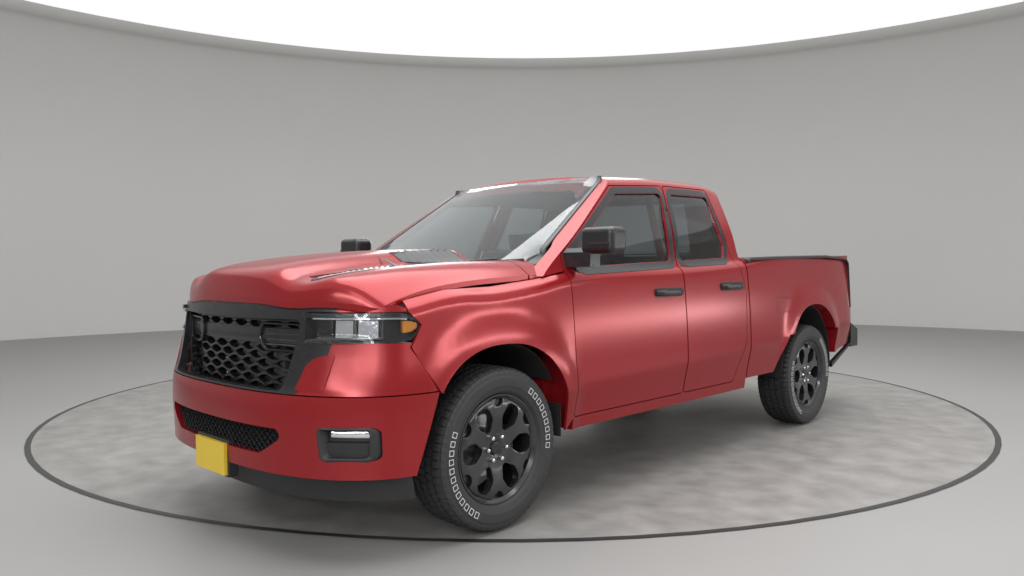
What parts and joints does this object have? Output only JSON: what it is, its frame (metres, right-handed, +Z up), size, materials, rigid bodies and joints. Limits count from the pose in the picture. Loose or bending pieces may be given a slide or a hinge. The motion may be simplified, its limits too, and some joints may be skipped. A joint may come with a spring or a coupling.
{
  "type": "pickup truck",
  "caption": "Four-door pickup truck with an open load bed; doors, hood, tailgate, steering and wheels move.",
  "frame": {"origin": "on the ground under the middle of the truck's length and width", "axes": "+X to the truck's left, +Y to its tail, +Z up"},
  "size_m": [2.504, 5.814, 1.9303],
  "materials": {
    "red_paint": "gloss",
    "black_gloss": "gloss",
    "black_plastic": "matt",
    "tyre_rubber": "matt",
    "black_wheel": "gloss",
    "cast_steel": "matt",
    "frame_black": "satin",
    "cast_alloy": "satin",
    "steel_pipe": "satin",
    "clear_glass": "clear",
    "lamp_clear": "clear",
    "lamp_red": "gloss",
    "plate_yellow": "satin",
    "dark_trim": "matt",
    "dark_leather": "satin"
  },
  "bodies": {
    "truck_body": {"rear_axle": "cast_steel", "chassis_frame": "frame_black", "front_suspension": "cast_steel", "powertrain": "cast_alloy", "fuel_tank": "black_plastic", "exhaust": "steel_pipe", "radiator": "cast_alloy", "spare_wheel": "tyre_rubber", "front_fenders": "red_paint", "front_bumper": "red_paint", "headlamps": "lamp_clear", "nose_panels": "red_paint", "grille_surround": "black_gloss", "grille": "black_gloss", "air_dam": "black_plastic", "lower_grille": "black_plastic", "plate_holder": "plate_yellow", "cab_shell": "red_paint", "windscreen": "clear_glass", "rear_window": "clear_glass", "cowl": "black_plastic", "cargo_bed": "red_paint", "tail_lamps": "lamp_red", "rear_bumper": "black_gloss", "dashboard": "dark_trim", "front_seats": "dark_leather", "rear_seat": "dark_leather", "arch_liners": "black_plastic", "nose_support": "frame_black"},
    "hood": {"hood": "red_paint", "hood_vents": "black_plastic"},
    "tailgate": {"tailgate": "red_paint"},
    "steering_wheel": {"steering_wheel": "dark_trim"},
    "knuckle_left": {"knuckle_left": "cast_steel"},
    "knuckle_right": {"knuckle_right": "cast_steel"},
    "door_front_left": {"door_front_left": "red_paint", "glass_front_left": "clear_glass", "mirror_left": "black_gloss"},
    "door_rear_left": {"door_rear_left": "red_paint", "glass_rear_left": "clear_glass"},
    "wheel_front_left": {"wheel_front_left": "black_wheel", "tyre_front_left": "tyre_rubber"},
    "wheel_rear_left": {"wheel_rear_left": "black_wheel", "tyre_rear_left": "tyre_rubber"},
    "door_front_right": {"door_front_right": "red_paint", "glass_front_right": "clear_glass", "mirror_right": "black_gloss"},
    "door_rear_right": {"door_rear_right": "red_paint", "glass_rear_right": "clear_glass"},
    "wheel_front_right": {"wheel_front_right": "black_wheel", "tyre_front_right": "tyre_rubber"},
    "wheel_rear_right": {"wheel_rear_right": "black_wheel", "tyre_rear_right": "tyre_rubber"}
  },
  "joints": [
    {"name": "steer_left", "type": "hinge", "parent": "truck_body", "child": "knuckle_left", "pos_m": [0.785, -1.892, 0.4055], "axis": [0, 0, 1], "range_deg": [-30, 30]},
    {"name": "wheel_front_left_spin", "type": "hinge", "parent": "knuckle_left", "child": "wheel_front_left", "pos_m": [0.87, -1.892, 0.4055], "axis": [1, 0, 0], "continuous": true},
    {"name": "wheel_rear_left_spin", "type": "hinge", "parent": "truck_body", "child": "wheel_rear_left", "pos_m": [0.865, 1.677, 0.4055], "axis": [1, 0, 0], "continuous": true},
    {"name": "door_front_left_hinge", "type": "hinge", "parent": "truck_body", "child": "door_front_left", "pos_m": [1.012, -1.284, 0.9], "axis": [0, 0, -1], "range_deg": [0, 68]},
    {"name": "door_rear_left_hinge", "type": "hinge", "parent": "truck_body", "child": "door_rear_left", "pos_m": [1.012, -0.172, 0.9], "axis": [0, 0, -1], "range_deg": [0, 72]},
    {"name": "steer_right", "type": "hinge", "parent": "truck_body", "child": "knuckle_right", "pos_m": [-0.785, -1.892, 0.4055], "axis": [0, 0, 1], "range_deg": [-30, 30]},
    {"name": "wheel_front_right_spin", "type": "hinge", "parent": "knuckle_right", "child": "wheel_front_right", "pos_m": [-0.87, -1.892, 0.4055], "axis": [1, 0, 0], "continuous": true},
    {"name": "wheel_rear_right_spin", "type": "hinge", "parent": "truck_body", "child": "wheel_rear_right", "pos_m": [-0.865, 1.677, 0.4055], "axis": [1, 0, 0], "continuous": true},
    {"name": "door_front_right_hinge", "type": "hinge", "parent": "truck_body", "child": "door_front_right", "pos_m": [-1.012, -1.284, 0.9], "axis": [0, 0, 1], "range_deg": [0, 68]},
    {"name": "door_rear_right_hinge", "type": "hinge", "parent": "truck_body", "child": "door_rear_right", "pos_m": [-1.012, -0.172, 0.9], "axis": [0, 0, 1], "range_deg": [0, 72]},
    {"name": "hood_hinge", "type": "hinge", "parent": "truck_body", "child": "hood", "pos_m": [0, -1.562, 1.38], "axis": [-1, 0, 0], "range_deg": [0, 50]},
    {"name": "tailgate_hinge", "type": "hinge", "parent": "truck_body", "child": "tailgate", "pos_m": [0, 2.523, 0.775], "axis": [-1, 0, 0], "range_deg": [0, 90]},
    {"name": "steering_wheel_turn", "type": "hinge", "parent": "truck_body", "child": "steering_wheel", "pos_m": [0.385, -0.982, 1.094], "axis": [0, 0.9136, 0.4067], "range_deg": [-420, 420]}
  ],
  "couplings": [
    {"joint": "steer_right", "follows": "steer_left", "ratio": 1},
    {"joint": "steering_wheel_turn", "follows": "steer_left", "ratio": 14}
  ]
}
